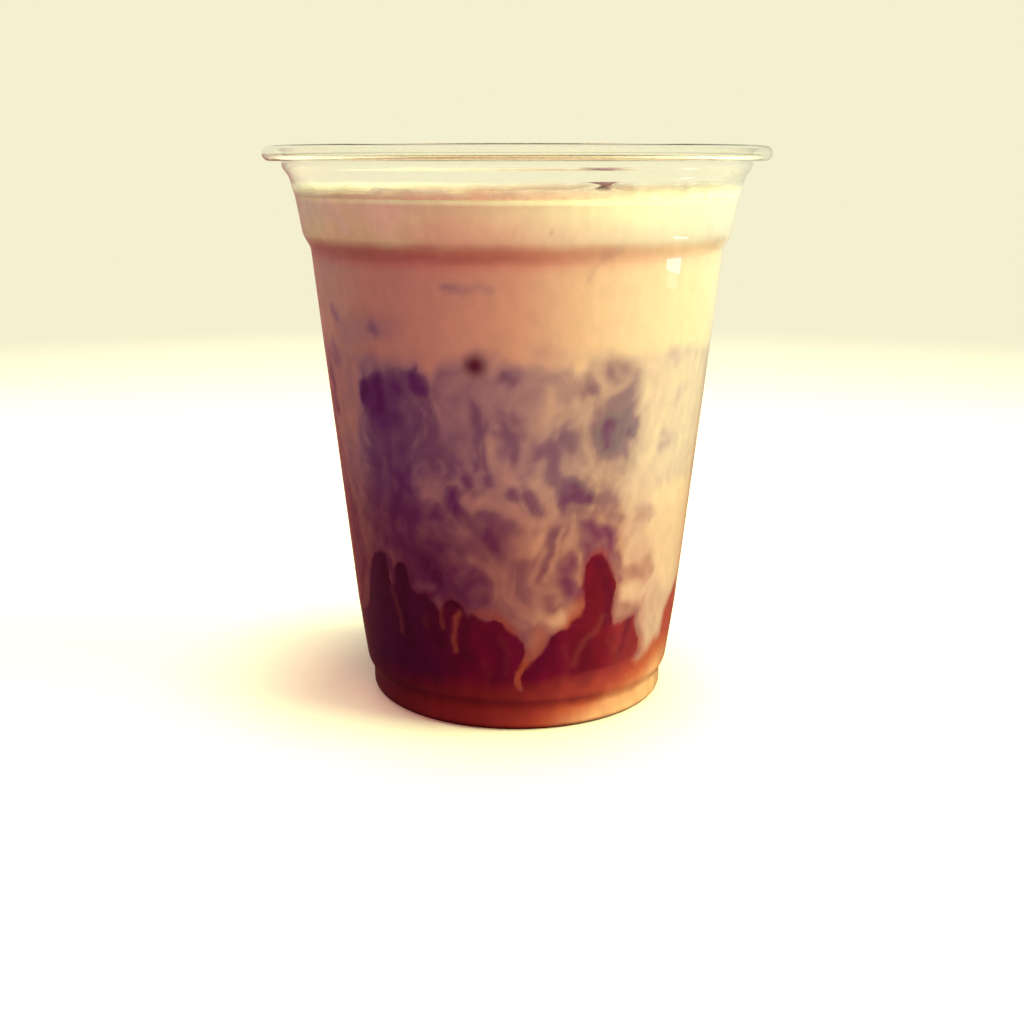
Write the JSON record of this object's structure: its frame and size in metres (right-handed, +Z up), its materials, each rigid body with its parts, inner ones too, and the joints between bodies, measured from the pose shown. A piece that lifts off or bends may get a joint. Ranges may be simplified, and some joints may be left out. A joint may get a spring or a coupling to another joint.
{
  "type": "iced cafe au lait in a clear cup",
  "caption": "Iced cafe au lait: coffee, swirling milk and milky coffee in layers, with ice at the top, in a clear tapered plastic cup.",
  "frame": {"origin": "centre of the ring that the cup stands on", "axes": "+Z up the cup's axis; -Y towards the front of the drink; +X to the right seen from the front"},
  "size_m": [0.098, 0.098, 0.1094],
  "materials": {
    "clear_plastic": "clear thin plastic sheet, glossy",
    "coffee": "dark red-brown coffee, wet",
    "milk_swirls": "milk marbled through coffee, wet",
    "milky_coffee": "smooth milky coffee, wet",
    "ice": "melting ice, wet"
  },
  "bodies": {
    "root": {"cup": "clear_plastic", "coffee": "coffee", "milk_swirls": "milk_swirls", "milky_coffee": "milky_coffee", "ice_1": "ice", "ice_2": "ice", "ice_3": "ice", "ice_4": "ice", "ice_5": "ice"}
  },
  "joints": []
}
